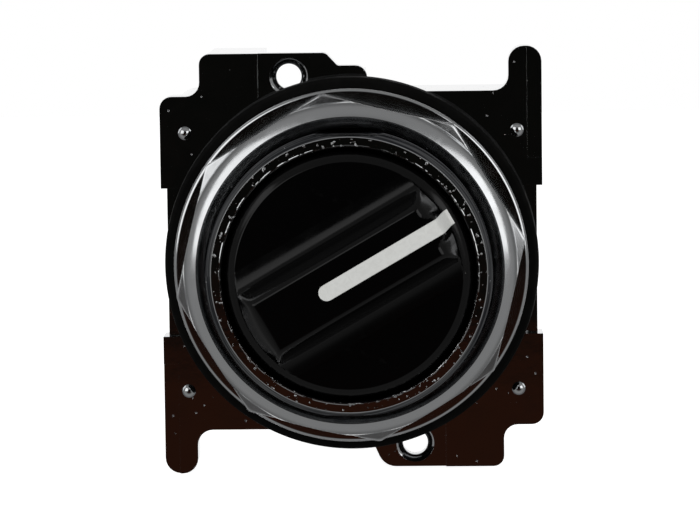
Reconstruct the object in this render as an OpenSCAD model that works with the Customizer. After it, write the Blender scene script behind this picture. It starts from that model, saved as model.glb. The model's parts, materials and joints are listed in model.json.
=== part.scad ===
// Panel selector switch operator for a 30 mm class panel hole.
// The bushing axis runs along Y: the front of the panel faces -Y, +X is right and +Z is up.
// The origin is where that axis meets the casing's front plane, which bears on the panel's back.
// Most modules draw in panel coordinates, x right, y up and z out of the panel, and facing()
// turns them into place. At rest the knob points to its right-hand position.

/* [Casing] */
// Clear width between the thread and each side of the casing
side_margin = 5.6; // [5:0.1:8]
// Clear height between the thread and the casing's top and bottom decks
deck_margin = 3.3; // [3:0.1:6]
// Depth of the casing behind the panel
casing_depth = 22; // [21:0.5:32]
// Thickness of the corner plates that bear on the panel
flange_t = 4; // [3:0.1:6]
// Thickness of the casing's front wall
front_wall = 3; // [2.5:0.1:4]
// Width of the contact block screw spacing, side to side
screw_span_x = 13.3; // [11:0.1:15]
// Height of the contact block screws above the thread
screw_rise = 5; // [4.5:0.1:7]
// Tapping drill diameter of the contact block screw holes
screw_hole_d = 2.75; // [2.2:0.05:3.2]
// Thickness of the screw lugs
lug_t = 2.4; // [2:0.1:3.4]

/* [Bushing] */
// Outside diameter of the mounting thread
thread_d = 30.2; // [26:0.1:36]
// Pitch of the mounting thread
thread_pitch = 1.5; // [1:0.25:2]
// Length of the bushing in front of the panel's back
bushing_len = 14.4; // [12.5:0.1:20]
// Wall between the thread and the bore
bushing_wall = 1.65; // [1.5:0.05:2.2]

/* [Mounting stack] */
// Thickness of the rubber gasket
gasket_t = 3.2; // [1.5:0.1:4]
// Thickness of the thrust washer
washer_t = 2; // [1:0.1:2.4]
// Height of the nut's eight-sided part and collar together
nut_h = 4.8; // [4:0.1:6]
// Width of the nut outside the thread, measured at a flat
nut_rim = 2.35; // [2:0.05:3.5]

/* [Knob] */
// Gap around the knob in the bushing
knob_gap = 0.45; // [0.3:0.05:0.8]
// How far the knob's face stands proud of the bushing
knob_proud = 0.7; // [0.3:0.1:2]
// Height of the grip bar above the knob's face
grip_h = 4; // [3:0.1:7]
// Width of the grip bar's top
grip_top_w = 5.8; // [5:0.1:7]
// Width of the grip bar at its foot
grip_foot_w = 8.7; // [8:0.1:9.5]
// Width across the shoulders beside the grip bar
shoulder_w = 12.84; // [11:0.1:15]
// Width of the white indicator line
line_w = 1.72; // [1:0.05:3]
// Turn of the knob from its middle to each end position
throw = 60; // [30:5:60]

/* [Mechanism] */
// Diameter of the spindle's journal
spindle_d = 8; // [7:0.1:9]
// Distance between the two plungers' centres
plunger_spacing = 17; // [15:0.1:21]
// Travel of each plunger from one end position to the other
plunger_travel = 3; // [2:0.1:3.2]
// Diameter of each plunger's stem
stem_d = 3.6; // [3:0.1:4.4]
// Radius of the detent wheel
detent_r = 9.2; // [8.5:0.1:10]
// Radial clearance of the running fits
run_fit = 0.05; // [0.02:0.01:0.1]
// Clearance between pieces that don't touch
gap = 0.3; // [0.2:0.05:0.4]

/* [Hidden] */
$fn = 96;
e = 0.01;

// Outline of the casing, seen from the front
thread_r = thread_d / 2;
half_w = thread_r + side_margin;
deck = thread_r + deck_margin;
plate_edge = deck - 0.33;
screw_x = screw_span_x / 2;
screw_y = thread_r + screw_rise;
lug_top = screw_y + 2.55;
block_in = screw_x + 3.35;
block_out = block_in + 6.35;
lug_end = 4 - screw_x;
lug_shelf = screw_y + 1.15;
shelf_end = lug_end + 4.5;
finger_w = 3.6;
finger_in = half_w - finger_w;
finger_top = lug_top + 0.55;
rib_w = 2.6;
rib_top = deck + 1.5;

// Steps of the casing's front
side_step_y = 8.1;
side_step_t = 4;
side_step_x = half_w - 2.5;
lug_step = 0.4;
ridge_x = half_w - 1.6;
ridge_y = side_step_y + 3;
nib_d = 1.45;
nib_h = 0.55;
nib_ball_r = (pow(nib_d / 2, 2) + pow(nib_h, 2)) / (2 * nib_h);
body_inset = 0.6;

// Mounting stack, in front of the panel's back
gasket_r = thread_r + 5.15;
washer_r = thread_r + 3.95;
washer_z = gasket_t;
nut_z = gasket_t + washer_t;
nut_front = nut_z + nut_h;
nut_af_r = thread_r + nut_rim;
nut_corner_r = nut_af_r / cos(22.5);
nut_turn = 9;
nut_side_h = 2.5;
nut_groove_r = nut_corner_r - 1;
nut_lip_r = thread_r + 1.3;
hole_fit = 0.1;
key_top = sqrt(pow(thread_r, 2) - pow(7.5 / 2, 2));
key_bottom = sqrt(pow(thread_r, 2) - pow(5.5 / 2, 2));
thread_depth = 0.45 * thread_pitch;

// Bushing bore and knob
bore_r = thread_r - bushing_wall;
knob_r = bore_r - knob_gap;
web_front = 0.6;
knob_face = bushing_len + knob_proud;
knob_bottom = 3.4;
knob_wall = 2.4;
rim_w = 1;
grip_top = knob_face + grip_h;
grip_half_len = knob_r - 3.1;
grip_r = knob_r - rim_w - 0.1;
shoulder_h = 0.9;
line_tail = line_w / 2 - 3.4;
line_t = 1.2;
seal_r = 0.7;
seal_z = 6.6;

// Spindle, from the knob back to the cam
journal_r = spindle_d / 2;
bearing_r = journal_r + 1.2;
bearing_flange_r = bearing_r + 1.6;
bearing_flange_t = 0.8;
drive_w = 0.675 * spindle_d;
drive_fit = 0.05;
spindle_flange_r = 6;
spindle_flange_z = web_front + bearing_flange_t + run_fit;
hub_z = 2.65;
hub_r = 5.2;
drive_front = 9.5;
journal_back = -front_wall - 0.15;
o_ring_r = 0.44;
o_ring_z = -0.6;
m3_r = 1.5;
screw_clear_r = 1.7;

// Detent wheel and cam, behind the front wall
wheel_t = 2.6;
wheel_back = journal_back - wheel_t;
notch_r = 2.4;
notch_centre = detent_r + 1.2;
leaf_t = 0.4;
leaf_bump_r = notch_r - gap;
cam_disc_t = 2;
cam_face = wheel_back - cam_disc_t;
plunger_r = plunger_spacing / 2;
head_r = 2.5;
cam_r = plunger_r + head_r + 1;
track_in = plunger_r - head_r;
hub_back = cam_face - 5.15;
cam_washer_t = 0.5;
screw_head_t = 2.1;
ramp_low = 0.5;
ramp_rise = plunger_travel * 180 / (2 * throw);
ramp_margin = (ramp_rise - plunger_travel) / 2;
stop_lug_r = cam_r + 2;
stop_lug_w = 4;
stop_rib_t = 2;

// Cavity, plungers and rear plate
cavity_x = max(half_w - 4.1, stop_lug_r + gap);
cavity_y = max(deck - 2.25, stop_lug_r + gap);
plate_t = 1.2;
plate_lip = 0.8;
plate_front = -casing_depth + plate_t;
post_r = 2.5;
post_x = cavity_x - post_r + 0.6;
post_y = cavity_y - post_r + 0.6;
guide_t = 1.8;
guide_front = plate_front + guide_t;
boss_r = 4.2;
boss_h = 2.6;
spring_pocket_r = head_r + 0.4;
head_l = 4;
tip_gap = 0.2;
stem_inset = 0.2;
stem_r = stem_d / 2;
stem_back = -casing_depth + stem_inset;
spring_wire_r = 0.22;
spring_r = (stem_r + head_r) / 2 + 0.05;
spring_turns = 4;
m2_r = 1.25;

tip_back = cam_face - (ramp_low + ramp_margin + plunger_travel) - tip_gap;
plunger_l = tip_back - stem_back;
pocket_floor = plate_front + 1.2;
wing_rise = 0.6;
leaf_half_l = 11;
peg_r = 1;
peg_x = leaf_half_l - leaf_t / 2 - peg_r - 0.1;
peg_y = notch_centre + wing_rise + leaf_t + 0.1 + peg_r;
nib_angle = 38.1;
nib_ring_r = gasket_r + 2.6;
nib_x = nib_ring_r * cos(nib_angle);
nib_y = nib_ring_r * sin(nib_angle);

module facing() rotate([90, 0, 0]) children();

// Unit vector along v
function unit(v) = v / norm(v);

// Points of a round corner of radius r at b, between its neighbours a and c
function corner_points(a, b, c, r, n = 6) =
    r == 0 ? [b] :
    let (
        u = unit(a - b),
        v = unit(c - b),
        half = acos(u * v) / 2,
        centre = b + unit(u + v) * r / sin(half),
        from = b + u * r / tan(half) - centre,
        to = b + v * r / tan(half) - centre,
        start = atan2(from.y, from.x),
        sweep = (atan2(to.y, to.x) - start + 540) % 360 - 180
    )
    [for (i = [0:n]) centre + r * [cos(start + sweep * i / n), sin(start + sweep * i / n)]];

// Outline through corners [x, y, radius]
function round_outline(c) = [
    for (i = [0:len(c) - 1])
        let (a = c[(i + len(c) - 1) % len(c)], b = c[i], d = c[(i + 1) % len(c)])
        each corner_points([a.x, a.y], [b.x, b.y], [d.x, d.y], b.z)
];

function turned(c) = [for (p = c) [-p.x, -p.y, p.z]];

module twice() {
    children();
    rotate(180) children();
}

module rounded_box(x, y, r) polygon(round_outline([[x, -y, r], [x, y, r], [-x, y, r], [-x, -y, r]]));

// The lug's end at the top has a shelf beside it, and the one at the bottom slopes down to the deck
upper_lug_end = [
    [shelf_end, deck, 0.4], [shelf_end, lug_shelf, 1.3], [lug_end + 1.3, lug_shelf, 0.3],
    [lug_end, lug_top, 1]
];
lower_lug_end = [[lug_end + 1.3, deck, 0.6], [lug_end - 0.6, lug_top, 2]];

// Half of the casing's outline, from the right-hand finger to the left-hand shoulder
function casing_half(end) = concat(
    [[half_w, finger_top, 1.7], [finger_in, finger_top, 1.7], [finger_in, deck, 1.65]],
    end,
    [[-block_out, lug_top, 1.15], [-block_out, plate_edge, 1.5], [-half_w, plate_edge, 1.3]]
);

module casing_flange() difference() {
    translate([0, 0, -flange_t]) linear_extrude(flange_t)
        polygon(round_outline(concat(casing_half(upper_lug_end), turned(casing_half(lower_lug_end)))));
    twice() {
        translate([-block_in, deck - 0.8, -lug_step]) cube([block_in + shelf_end, 6, 2]);
        translate([-block_in, deck - 0.8, -flange_t - 1])
            cube([block_in + shelf_end, 6, flange_t + 1 - lug_step - lug_t]);
        translate([side_step_x, -side_step_y, -side_step_t])
            cube([4, 2 * side_step_y, side_step_t + 1]);
        translate([ridge_x, ridge_y, -0.3]) cube([4, finger_top, 2]);
    }
}

module casing_body() {
    translate([0, 0, -casing_depth]) {
        linear_extrude(casing_depth - 1) rounded_box(half_w - body_inset, deck - body_inset, 2);
        twice() {
            translate([-block_out + 0.4, deck - 2, 0])
                cube([block_out - block_in - 0.4, lug_top - deck + 1.6, casing_depth - 1]);
            translate([-rib_w / 2, deck - 2, 0]) cube([rib_w, rib_top - deck + 2, casing_depth - 8]);
        }
    }
    twice() translate([finger_in + 0.3, deck - 2, -flange_t - 4])
        cube([finger_w - 0.9, finger_top - deck, 5]);
}

// Ring-grooved thread, end chamfer and the web that carries the spindle bearing
module bushing_blank() {
    first = 1.2;
    count = floor((bushing_len - first - 0.9) / thread_pitch);
    grooves = [
        for (i = [0:count - 1])
            let (z = first + i * thread_pitch)
            each [
                [thread_r, z],
                [thread_r - thread_depth, z + 0.45 * thread_pitch],
                [thread_r - thread_depth, z + 0.55 * thread_pitch],
                [thread_r, z + 0.9 * thread_pitch]
            ]
    ];
    difference() {
        rotate_extrude() polygon(concat(
            [[0, -front_wall], [thread_r, -front_wall]],
            grooves,
            [
                [thread_r, bushing_len - 0.6], [thread_r - 0.6, bushing_len],
                [bore_r + 0.15, bushing_len], [bore_r, bushing_len - 0.15],
                [bore_r, web_front], [0, web_front]
            ]
        ));
        translate([-thread_r, key_top, e]) cube([2 * thread_r, 2, bushing_len]);
        translate([-thread_r, -key_bottom - 2, e]) cube([2 * thread_r, 2, bushing_len]);
    }
}

module posts() {
    post_l = -front_wall - plate_front + 1;
    twice() {
        translate([post_x, post_y, plate_front]) cylinder(h = post_l, r = post_r);
        translate([-post_x, post_y, guide_front]) cylinder(h = post_l - guide_t, r = post_r);
    }
}

// Pegs that hold the detent springs against the wheel
module spring_pegs() twice() for (side = [-1, 1])
    translate([side * peg_x, peg_y, -front_wall - wheel_t]) cylinder(h = wheel_t + 1, r = peg_r);

// Ribs that stop the cam's lug at both ends of the travel
module stop_ribs() for (side = [-1, 1])
    rotate(90 + side * throw)
    translate([cam_r + 0.5, side * (stop_lug_w / 2 + gap) - (side < 0 ? stop_rib_t : 0), cam_face])
        cube([cavity_x - cam_r + 1.2, stop_rib_t, -front_wall - cam_face + 1]);

module casing() color("silver") facing() {
    difference() {
        union() {
            difference() {
                union() {
                    casing_flange();
                    casing_body();
                }
                translate([0, 0, -casing_depth - 1])
                    linear_extrude(casing_depth + 1 - front_wall) rounded_box(cavity_x, cavity_y, 2);
            }
            bushing_blank();
            intersection() {
                posts();
                translate([0, 0, -casing_depth]) linear_extrude(casing_depth)
                    rounded_box(half_w - body_inset - 0.1, deck - body_inset - 0.1, 2);
            }
            spring_pegs();
            stop_ribs();
            twice() for (side = [-1, 1]) translate([side * nib_x, nib_y, nib_h - nib_ball_r])
                sphere(nib_ball_r);
        }
        translate([0, 0, -front_wall - 1]) cylinder(h = front_wall + 4, r = bearing_r + 0.02);
        translate([0, 0, -casing_depth - 1]) linear_extrude(plate_t + 1)
            rounded_box(cavity_x + plate_lip, cavity_y + plate_lip, 2.5);
        twice() {
            translate([post_x, post_y, plate_front - 1]) cylinder(h = 10, r = m2_r + 0.02);
            translate([-screw_x, screw_y, -flange_t - 1]) cylinder(h = flange_t + 2, r = screw_hole_d / 2);
            translate([-screw_x, screw_y, -lug_step - 0.7])
                cylinder(h = 0.7 + e, r1 = screw_hole_d / 2, r2 = screw_hole_d / 2 + 0.7);
            translate([-screw_x, screw_y, -casing_depth - 1])
                cylinder(h = casing_depth - lug_step - lug_t + 1, r = 2.2);
        }
    }
}

// Ring with the flats that key it to the bushing
module keyed_hole() intersection() {
    circle(thread_r + hole_fit);
    translate([-thread_r - 1, -key_bottom - hole_fit])
        square([2 * thread_r + 2, key_top + key_bottom + 2 * hole_fit]);
}

module gasket() color("black") facing() difference() {
    rotate_extrude() polygon(round_outline([
        [thread_r - 2, 0, 0], [gasket_r, 0, 0.5], [gasket_r, gasket_t, 0.6], [thread_r - 2, gasket_t, 0]
    ]));
    translate([0, 0, -1]) cylinder(h = gasket_t + 2, r = thread_r + hole_fit);
}

module thrust_washer() color("gainsboro") facing() difference() {
    translate([0, 0, washer_z]) rotate_extrude() polygon(round_outline([
        [2, 0, 0], [washer_r, 0, 0.4], [washer_r, washer_t, 1], [2, washer_t, 0]
    ]));
    translate([0, 0, washer_z - 1]) linear_extrude(washer_t + 2) keyed_hole();
}

module mounting_nut() color("silver") facing() {
    cone_z = nut_z + nut_side_h;
    groove_z = cone_z + (nut_corner_r - nut_groove_r) * tan(15);
    dome = [
        for (t = [0:10:90]) [
            nut_lip_r + (nut_groove_r - nut_lip_r) * cos(t),
            groove_z + (nut_front - groove_z) * sin(t)
        ]
    ];
    intersection() {
        translate([0, 0, nut_z]) rotate(nut_turn) cylinder(h = nut_h, r = nut_corner_r, $fn = 8);
        rotate_extrude() polygon(concat(
            [[thread_r + hole_fit, nut_z], [nut_corner_r + 0.4, nut_z], [nut_corner_r + 0.4, cone_z]],
            dome,
            [[thread_r + hole_fit, nut_front - 1.1]]
        ));
    }
}

module along_bar() rotate(90 - throw) children();

// Slice of the grip: half-width w, inside radius r
module grip_slice(w, r, z, t = 0.02) translate([0, 0, z - t]) linear_extrude(t) intersection() {
    square([4 * r, 2 * w], center = true);
    circle(r, $fn = 64);
}

// Side view of the indicator line, which runs along the grip's top and down its end
line_side = [
    [line_tail, grip_top - line_t], [line_tail, grip_top + 0.05],
    [grip_half_len, grip_top + 0.05], [knob_r - rim_w + 0.2, knob_face + 0.5],
    [knob_r - 0.4, knob_face - 0.45], [knob_r - 1.5, knob_face - 0.45],
    [grip_half_len - 1, grip_top - line_t]
];

module line_solid(w) rotate([90, 0, 0]) translate([0, 0, -w / 2]) linear_extrude(w) polygon(line_side);

module knob() color("#1a1a1a") facing() difference() {
    union() {
        difference() {
            rotate_extrude() polygon(round_outline([
                [2, knob_bottom, 0], [knob_r, knob_bottom, 0.3], [knob_r, knob_face, rim_w],
                [2, knob_face, 0]
            ]));
            translate([0, 0, knob_bottom - 1])
                cylinder(h = knob_face - knob_bottom - 1.5, r = knob_r - knob_wall);
        }
        translate([0, 0, hub_z]) cylinder(h = knob_face - hub_z, r = hub_r);
        along_bar() {
            hull() {
                grip_slice(shoulder_w / 2 + 0.2, grip_r, knob_face - 0.1);
                grip_slice(grip_foot_w / 2 + 0.2, grip_r - 0.1, knob_face + shoulder_h);
            }
            hull() {
                grip_slice(grip_foot_w / 2, grip_r - 0.1, knob_face + shoulder_h - 0.1);
                translate([0, 0, grip_top - 0.4]) linear_extrude(0.02)
                    rounded_box(grip_half_len + 0.4, grip_top_w / 2 + 0.15, 0.8);
                translate([0, 0, grip_top - 0.02]) linear_extrude(0.02)
                    rounded_box(grip_half_len, grip_top_w / 2 - 0.15, 0.8);
            }
        }
    }
    rotate_extrude() translate([knob_r - 1, seal_z - seal_r - 0.05]) square([2, 2 * seal_r + 0.1]);
    translate([0, 0, hub_z - 1]) linear_extrude(drive_front - hub_z + 1.2)
        square(drive_w + 2 * drive_fit, center = true);
    translate([0, 0, hub_z]) cylinder(h = 11.4, r = m3_r + 0.02);
    along_bar() {
        line_solid(line_w + 0.04);
        translate([0, 0, grip_top - line_t - 0.02]) linear_extrude(3) line_tail_end(line_w / 2 + 0.02);
    }
}

module line_tail_end(r) translate([line_tail, 0]) circle(r, $fn = 32);

module indicator_line() color("white") facing() along_bar() {
    line_solid(line_w);
    translate([0, 0, grip_top - line_t]) linear_extrude(line_t + 0.05) line_tail_end(line_w / 2);
}

module ring_seal(outer, r, z) rotate_extrude() translate([outer - r, z]) circle(r, $fn = 32);

module knob_seal() color("dimgray") facing() ring_seal(bore_r - 0.03, seal_r, seal_z);

module spindle_o_ring() color("dimgray") facing() ring_seal(journal_r + run_fit - 0.01, o_ring_r, o_ring_z);

module spindle_bearing() color("goldenrod") facing() difference() {
    union() {
        translate([0, 0, -front_wall]) cylinder(h = front_wall + web_front + e, r = bearing_r);
        translate([0, 0, web_front]) cylinder(h = bearing_flange_t, r = bearing_flange_r);
    }
    translate([0, 0, -front_wall - 1]) cylinder(h = front_wall + 4, r = journal_r + run_fit);
}

module square_bar(from, to, w) translate([0, 0, from]) linear_extrude(to - from) square(w, center = true);

module spindle() color("lightsteelblue") facing() difference() {
    union() {
        translate([0, 0, journal_back]) cylinder(h = hub_z - journal_back, r = journal_r);
        translate([0, 0, spindle_flange_z]) cylinder(h = hub_z - spindle_flange_z, r = spindle_flange_r);
        square_bar(journal_back - 1, drive_front, drive_w);
        square_bar(hub_back + 0.2, journal_back, drive_w);
    }
    ring_groove_r = journal_r + run_fit - 0.02 - 2 * o_ring_r;
    rotate_extrude() translate([ring_groove_r, o_ring_z - o_ring_r - 0.05])
        square([2, 2 * o_ring_r + 0.1]);
    translate([0, 0, hub_back - 1]) cylinder(h = 30, r = screw_clear_r);
}

module square_socket(from, to) square_bar(from, to, drive_w + 2 * drive_fit);

module detent_wheel() color("ivory") facing() difference() {
    translate([0, 0, wheel_back]) cylinder(h = wheel_t, r = detent_r);
    for (i = [0:5]) rotate(90 + i * 60) translate([notch_centre, 0, wheel_back - 1])
        cylinder(h = wheel_t + 2, r = notch_r);
    square_socket(wheel_back - 1, journal_back + 1);
}

// Leaf spring with a round bump in the middle, which sits in a notch of the wheel
module leaf_profile() {
    inner = leaf_bump_r - leaf_t;
    translate([0, notch_centre]) difference() {
        union() {
            circle(leaf_bump_r);
            translate([-leaf_bump_r, 0]) square([2 * leaf_bump_r, wing_rise + leaf_t]);
            translate([-leaf_half_l, wing_rise]) square([2 * leaf_half_l, leaf_t]);
            for (side = [-1, 1]) translate([side * leaf_half_l - leaf_t / 2, wing_rise])
                square([leaf_t, 2 * peg_r]);
        }
        circle(inner);
        translate([-inner, 0]) square([2 * inner, 3 * leaf_bump_r]);
    }
}

module detent_springs() color("silver") facing() twice()
    translate([0, 0, wheel_back + 0.1]) linear_extrude(wheel_t - 0.2) leaf_profile();

// Height of the cam's track above its disc, falling evenly to both sides of the peak
function track_h(a) =
    let (off = abs((a - (90 - throw) + 540) % 360 - 180)) ramp_low + ramp_rise * (1 - off / 180);

module cam_track() {
    step = 5;
    n = 360 / step;
    rings = [[track_in - 0.9, 0.3], [track_in - 0.9, -1], [cam_r - 0.6, -1], [cam_r - 0.6, 0.3]];
    points = [
        for (i = [0:n - 1], p = rings)
            let (z = p[1] > 0 ? cam_face + p[1] : cam_face - track_h(i * step))
            [p[0] * cos(i * step), p[0] * sin(i * step), z]
    ];
    faces = [
        for (i = [0:n - 1], k = [0:3])
            let (j = (i + 1) % n, m = (k + 1) % 4, a = 4 * i + k, b = 4 * i + m, c = 4 * j + k, d = 4 * j + m)
            each [[a, b, c], [b, d, c]]
    ];
    polyhedron(points, faces);
}

module cam() color("whitesmoke") facing() difference() {
    union() {
        translate([0, 0, cam_face]) cylinder(h = cam_disc_t, r = cam_r);
        rotate(90 - throw) translate([cam_r - 1, -stop_lug_w / 2, cam_face])
            cube([stop_lug_r - cam_r + 1, stop_lug_w, cam_disc_t]);
        translate([0, 0, hub_back]) cylinder(h = cam_face - hub_back + 1, r = hub_r);
        cam_track();
    }
    square_socket(hub_back - 1, wheel_back + 1);
}

module cam_washer() color("silver") facing() difference() {
    translate([0, 0, hub_back - cam_washer_t]) cylinder(h = cam_washer_t, r = hub_r - 0.6);
    translate([0, 0, hub_back - 1]) cylinder(h = 2, r = screw_clear_r);
}

module cross_recess(w, depth) for (a = [0, 90]) rotate(a)
    translate([-w / 2, -w / 8, -e]) cube([w, w / 4, depth + e]);

module spindle_screw() color("gray") facing() {
    head_back = hub_back - cam_washer_t - screw_head_t;
    difference() {
        union() {
            translate([0, 0, head_back]) cylinder(h = screw_head_t, r1 = 2.2, r2 = 2.8);
            translate([0, 0, head_back + 1]) cylinder(h = hub_z + 11 - head_back - 1, r = m3_r);
        }
        translate([0, 0, head_back]) cross_recess(3, 1.1);
    }
}

// Plunger whose dome stands at z = tip
module plunger(x, tip) translate([x, 0, tip]) {
    translate([0, 0, -head_r]) sphere(head_r);
    translate([0, 0, -head_l]) cylinder(h = head_l - head_r, r = head_r);
    translate([0, 0, -plunger_l + 0.4]) cylinder(h = plunger_l - head_l, r = stem_r);
    translate([0, 0, -plunger_l]) cylinder(h = 0.4 + e, r1 = stem_r - 0.3, r2 = stem_r);
}

module left_plunger() color("ivory") facing() plunger(-plunger_r, tip_back + plunger_travel);

module right_plunger() color("ivory") facing() plunger(plunger_r, tip_back);

// Coil spring between two heights, swept along a helix with closed end turns
module coil_spring(from, to) {
    sides = 6;
    per_turn = 18;
    n = spring_turns * per_turn;
    low = from + spring_wire_r + 0.02;
    high = to - spring_wire_r - 0.02;
    function height(t) = low + (high - low) * t;
    points = [
        for (i = [0:n], k = [0:sides - 1])
            let (
                a = i * 360 / per_turn,
                r = spring_r + spring_wire_r * cos(k * 360 / sides),
                z = height(i / n) + spring_wire_r * sin(k * 360 / sides)
            )
            [r * cos(a), r * sin(a), z]
    ];
    skin = [
        for (i = [0:n - 1], k = [0:sides - 1])
            let (a = i * sides + k, b = i * sides + (k + 1) % sides, c = a + sides, d = b + sides)
            each [[a, b, c], [b, d, c]]
    ];
    caps = [[for (k = [sides - 1:-1:0]) k], [for (k = [0:sides - 1]) n * sides + k]];
    polyhedron(points, concat(skin, caps));
}

module left_plunger_spring() color("silver") facing() translate([-plunger_r, 0, 0])
    coil_spring(pocket_floor, tip_back + plunger_travel - head_l);

module right_plunger_spring() color("silver") facing() translate([plunger_r, 0, 0])
    coil_spring(pocket_floor, tip_back - head_l);

module plunger_guide() color("#2c2c30") facing() difference() {
    union() {
        translate([0, 0, plate_front]) linear_extrude(guide_t)
            rounded_box(cavity_x - 0.15, cavity_y - 0.15, 2);
        twice() translate([plunger_r, 0, plate_front]) cylinder(h = guide_t + boss_h, r = boss_r);
        translate([-plunger_r, -0.8, plate_front]) cube([2 * plunger_r, 1.6, guide_t + boss_h / 2]);
    }
    twice() {
        translate([plunger_r, 0, plate_front - 1]) cylinder(h = 20, r = stem_r + run_fit);
        translate([plunger_r, 0, pocket_floor]) cylinder(h = 20, r = spring_pocket_r);
        translate([post_x, post_y, plate_front - 1]) cylinder(h = 10, r = post_r + 0.2);
    }
}

module rear_plate() color("lightgray") facing() difference() {
    translate([0, 0, -casing_depth]) linear_extrude(plate_t)
        rounded_box(cavity_x + plate_lip - 0.1, cavity_y + plate_lip - 0.1, 2.4);
    twice() {
        translate([plunger_r, 0, -casing_depth - 1]) cylinder(h = 3, r = stem_r + 0.5);
        translate([post_x, post_y, -casing_depth - e])
            cylinder(h = plate_t + 2 * e, r1 = 2.5, r2 = m2_r + 0.05);
    }
}

module rear_plate_screws() color("gray") facing() twice() translate([post_x, post_y, -casing_depth + 0.05])
    difference() {
        union() {
            cylinder(h = plate_t - 0.05, r1 = 2.38, r2 = m2_r);
            cylinder(h = 8, r = m2_r);
        }
        cross_recess(2.4, 0.7);
    }

casing();
gasket();
thrust_washer();
mounting_nut();
knob();
indicator_line();
knob_seal();
spindle();
spindle_bearing();
spindle_o_ring();
detent_wheel();
detent_springs();
cam();
cam_washer();
spindle_screw();
left_plunger();
right_plunger();
left_plunger_spring();
right_plunger_spring();
plunger_guide();
rear_plate();
rear_plate_screws();
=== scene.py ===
# %% [markdown]
# # A panel selector switch operator
#
# This is the front half of a rotary switch for a control panel: a chromed zinc casing with a
# threaded bushing, which a rubber gasket, a steel washer and an eight-sided nut clamp into a
# 30.5 mm hole, and a black plastic knob that turns a cam inside the casing. The working parts come
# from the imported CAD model, and this file gives them their looks. The CAD model could be shown
# as it is, but its edges are knife sharp and its curves are cut into flats, so the pieces that
# show are built again here, on the same places and sizes.

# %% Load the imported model
import json
import math

import bmesh
import bpy
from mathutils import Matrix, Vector
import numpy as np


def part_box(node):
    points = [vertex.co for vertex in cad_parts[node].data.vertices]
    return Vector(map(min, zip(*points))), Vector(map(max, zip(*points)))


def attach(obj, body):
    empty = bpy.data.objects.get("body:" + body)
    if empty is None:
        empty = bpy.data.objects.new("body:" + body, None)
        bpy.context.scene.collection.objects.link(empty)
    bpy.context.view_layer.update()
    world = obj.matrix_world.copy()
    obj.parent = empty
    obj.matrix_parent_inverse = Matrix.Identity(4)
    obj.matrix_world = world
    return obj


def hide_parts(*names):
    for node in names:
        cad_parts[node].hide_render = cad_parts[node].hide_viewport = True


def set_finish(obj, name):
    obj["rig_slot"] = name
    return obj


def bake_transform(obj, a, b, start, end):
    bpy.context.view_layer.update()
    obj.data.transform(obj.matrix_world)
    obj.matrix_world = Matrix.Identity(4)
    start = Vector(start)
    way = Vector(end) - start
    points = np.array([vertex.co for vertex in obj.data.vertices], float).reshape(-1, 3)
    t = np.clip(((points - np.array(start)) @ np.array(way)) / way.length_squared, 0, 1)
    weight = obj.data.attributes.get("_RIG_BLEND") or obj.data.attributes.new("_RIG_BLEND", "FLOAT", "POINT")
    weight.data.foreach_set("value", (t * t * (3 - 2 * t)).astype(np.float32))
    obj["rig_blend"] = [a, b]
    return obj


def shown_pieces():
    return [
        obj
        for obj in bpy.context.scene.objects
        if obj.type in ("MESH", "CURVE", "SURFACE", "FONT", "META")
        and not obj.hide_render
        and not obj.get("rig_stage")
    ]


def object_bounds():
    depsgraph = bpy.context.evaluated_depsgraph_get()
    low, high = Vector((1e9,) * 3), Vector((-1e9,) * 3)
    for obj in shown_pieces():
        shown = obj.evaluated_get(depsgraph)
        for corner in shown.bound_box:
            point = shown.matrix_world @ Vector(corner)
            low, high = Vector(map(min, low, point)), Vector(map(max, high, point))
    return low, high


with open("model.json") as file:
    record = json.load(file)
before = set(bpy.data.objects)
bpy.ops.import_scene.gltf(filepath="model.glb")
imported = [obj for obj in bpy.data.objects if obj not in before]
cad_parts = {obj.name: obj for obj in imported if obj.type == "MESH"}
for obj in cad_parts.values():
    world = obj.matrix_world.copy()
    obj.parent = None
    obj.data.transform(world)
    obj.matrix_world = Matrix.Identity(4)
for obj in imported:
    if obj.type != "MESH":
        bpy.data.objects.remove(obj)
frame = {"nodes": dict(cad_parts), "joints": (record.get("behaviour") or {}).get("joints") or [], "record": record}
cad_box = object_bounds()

nodes = frame["nodes"]

# %% [markdown]
# Everything on this switch is turned, moulded or cast round one axis, the bushing's. So the
# pieces are described in panel terms, in millimetres: right, up, and out of the panel towards
# the hand that turns the knob. One helper turns such a point into Blender's metres, where the
# panel faces -Y. The sizes are read from the CAD nodes, so a changed part still fits here.

# %% Panel coordinates and sizes read from the CAD
MM = 0.001


def at(right, up, out):
    """A point in panel terms, in millimetres, as a Blender point in metres."""
    return Vector((right, -out, up)) * MM


def radii(node):
    """The smallest and largest distance of a CAD node's corners from the bushing's axis, in mm."""
    reach = [math.hypot(v.co.x, v.co.z) / MM for v in nodes[node].data.vertices]
    return min(reach), max(reach)


def depths(node):
    """How far out of the panel a CAD node starts and ends, in mm."""
    low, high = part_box(node)
    return -high.y / MM, -low.y / MM


for name in ("gasket", "thrust_washer", "mounting_nut", "knob"):
    print(name, "radii", [round(r, 2) for r in radii(name)],
          "depths", [round(d, 2) for d in depths(name)])

# %% [markdown]
# A new piece takes over from a CAD node in three ways: it rides on the same body, it hides the
# node, and it keeps the node's finish. Its mesh is tidied first. Points that fell on each other
# are joined, the faces are turned outwards, and an edge is left sharp only where the surface
# really bends, so that curves look smooth and corners stay crisp. A Weighted Normal modifier
# then keeps the flats flat beside a rounded edge, which a mirror finish would show at once.

# %% From points and faces to a finished piece
SHARP_EDGE = math.radians(30)
WELD = 0.0002 * MM

body_of = {n: body for body, names in frame["record"]["behaviour"]["bodies"].items() for n in names}
slot_of = {n: o.data.materials[0].name for n, o in nodes.items()}


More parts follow.
